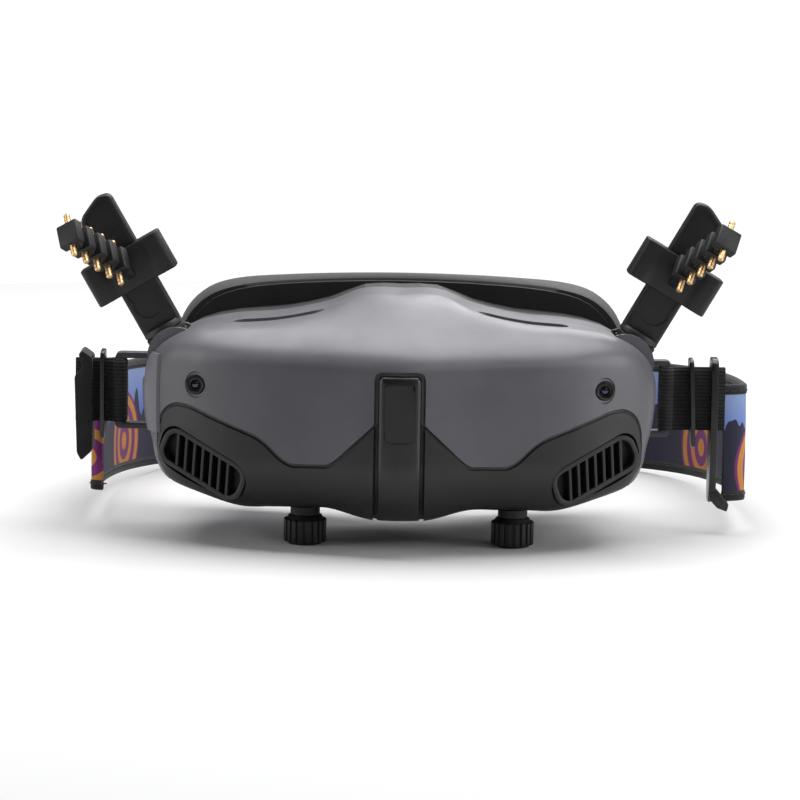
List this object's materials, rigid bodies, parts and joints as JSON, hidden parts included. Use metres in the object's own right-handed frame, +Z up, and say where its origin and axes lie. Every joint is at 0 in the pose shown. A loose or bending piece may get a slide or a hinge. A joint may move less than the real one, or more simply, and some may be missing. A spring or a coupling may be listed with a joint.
{
  "type": "fpv goggles",
  "caption": "Head-worn video goggles with foam face seat, focus knobs, two folding antennas with clip-on directional boosters, and a wide headband.",
  "frame": {"origin": "middle of the face seat's plane, where the rear frame ends and the foam seat begins, midway between the eye lenses", "axes": "+X to the right as seen from the front, +Y back towards the wearer's face, +Z up"},
  "size_m": [0.213, 0.2034, 0.1046],
  "materials": {
    "shell": "satin grey moulded ABS",
    "fascia": "fine texture black",
    "bezel": "satin black",
    "pane": "polished black window",
    "camera": "black lens",
    "mesh": "perforated sheet",
    "grille": "satin black",
    "panel": "pale grey",
    "foam": "brushed knit over foam",
    "frame": "black moulded",
    "board": "solder mask",
    "display": "glass faced display",
    "aluminium": "extruded",
    "steel": "ground",
    "lens": "coated",
    "knob": "black moulded",
    "port": "black",
    "antenna": "black moulded",
    "socket": "dark grey",
    "gold": "polished",
    "bracket": "dark grey",
    "buckle": "black moulded",
    "elastic": "woven elastic",
    "band": "printed webbing"
  },
  "bodies": {
    "housing": {"front_shell": "shell", "lower_fascia": "fascia", "nose_bezel": "bezel", "nose_window": "pane", "camera_left": "camera", "camera_right": "camera", "intake_mesh_left": "mesh", "intake_mesh_right": "mesh", "exhaust_grille_left": "grille", "exhaust_grille_right": "grille", "touch_panel": "panel", "rear_frame": "fascia", "foam_frame": "frame", "face_foam": "foam", "main_board": "board", "heat_sink": "aluminium", "guide_rods": "steel", "rod_mounts": "frame", "fan_housing_left": "frame", "fan_housing_right": "frame", "headphone_jack": "port", "usb_port": "steel", "power_socket": "port", "proximity_sensor": "port", "housing_screws": "steel", "antenna_socket_left": "socket", "antenna_socket_right": "socket", "hinge_pin_left": "steel", "hinge_pin_right": "steel", "strap_bracket_left": "bracket", "strap_bracket_right": "bracket", "elastic_left": "elastic", "elastic_right": "elastic", "buckle_left": "buckle", "buckle_right": "buckle", "rear_band": "band"},
    "optic_left": {"optic_carriage_left": "frame", "display_left": "display"},
    "optic_right": {"optic_carriage_right": "frame", "display_right": "display"},
    "barrel_left": {"lens_barrel_left": "frame", "eye_lens_left": "lens"},
    "barrel_right": {"lens_barrel_right": "frame", "eye_lens_right": "lens"},
    "knob_left": {"focus_knob_left": "knob"},
    "knob_right": {"focus_knob_right": "knob"},
    "antenna_left": {"antenna_left": "antenna"},
    "antenna_right": {"antenna_right": "antenna"},
    "clip_left": {"clip_left": "antenna", "boom_left": "antenna", "director_rods_left": "gold"},
    "clip_right": {"clip_right": "antenna", "boom_right": "antenna", "director_rods_right": "gold"},
    "fan_left": {"impeller_left": "frame"},
    "fan_right": {"impeller_right": "frame"},
    "back_button": {"back_button": "panel"},
    "link_button": {"link_button": "panel"},
    "slider_left": {"strap_slider_left": "buckle"},
    "slider_right": {"strap_slider_right": "buckle"}
  },
  "joints": [
    {"name": "ipd_left", "type": "slide", "parent": "housing", "child": "optic_left", "axis": [-1, 0, 0], "range_m": [-0.0004, 0.0081]},
    {"name": "focus_left", "type": "hinge", "parent": "optic_left", "child": "knob_left", "pos_m": [-0.0284, -0.042, -0.04], "axis": [0, 0, 1], "range_deg": [-100, 100]},
    {"name": "barrel_left_slide", "type": "slide", "parent": "optic_left", "child": "barrel_left", "axis": [0, 1, 0], "range_m": [-0.0025, 0.0025]},
    {"name": "antenna_left_fold", "type": "hinge", "parent": "housing", "child": "antenna_left", "pos_m": [-0.0685, -0.028, 0.0116], "axis": [0, -1, 0], "range_deg": [-8, 34]},
    {"name": "clip_left_slide", "type": "slide", "parent": "antenna_left", "child": "clip_left", "axis": [-0.5, 0, 0.866], "range_m": [-0.004, 0.018]},
    {"name": "fan_left_spin", "type": "hinge", "parent": "housing", "child": "fan_left", "pos_m": [-0.063, -0.024, -0.009], "axis": [1, 0, 0], "continuous": true},
    {"name": "ipd_right", "type": "slide", "parent": "housing", "child": "optic_right", "axis": [1, 0, 0], "range_m": [-0.0069, 0.0016]},
    {"name": "focus_right", "type": "hinge", "parent": "optic_right", "child": "knob_right", "pos_m": [0.0349, -0.042, -0.04], "axis": [0, 0, 1], "range_deg": [-100, 100]},
    {"name": "barrel_right_slide", "type": "slide", "parent": "optic_right", "child": "barrel_right", "axis": [0, 1, 0], "range_m": [-0.0025, 0.0025]},
    {"name": "antenna_right_fold", "type": "hinge", "parent": "housing", "child": "antenna_right", "pos_m": [0.0685, -0.028, 0.0116], "axis": [0, 1, 0], "range_deg": [-8, 34]},
    {"name": "clip_right_slide", "type": "slide", "parent": "antenna_right", "child": "clip_right", "axis": [0.5, 0, 0.866], "range_m": [-0.004, 0.018]},
    {"name": "fan_right_spin", "type": "hinge", "parent": "housing", "child": "fan_right", "pos_m": [0.063, -0.024, -0.009], "axis": [1, 0, 0], "continuous": true},
    {"name": "back_button_press", "type": "slide", "parent": "housing", "child": "back_button", "axis": [1, 0, 0], "range_m": [0, 0.0008], "stiffness_N_per_m": 400, "springref_m": -0.0005},
    {"name": "link_button_press", "type": "slide", "parent": "housing", "child": "link_button", "axis": [-1, 0, 0], "range_m": [0, 0.0008], "stiffness_N_per_m": 400, "springref_m": -0.0005},
    {"name": "slider_left_slide", "type": "slide", "parent": "housing", "child": "slider_left", "axis": [-1, 0, 0], "range_m": [-0.0012, 0.002]},
    {"name": "slider_right_slide", "type": "slide", "parent": "housing", "child": "slider_right", "axis": [1, 0, 0], "range_m": [-0.004, 0.0045]}
  ],
  "couplings": [
    {"joint": "focus_left", "follows": "barrel_left_slide", "rad_per_m": 698},
    {"joint": "focus_right", "follows": "barrel_right_slide", "rad_per_m": 698}
  ]
}
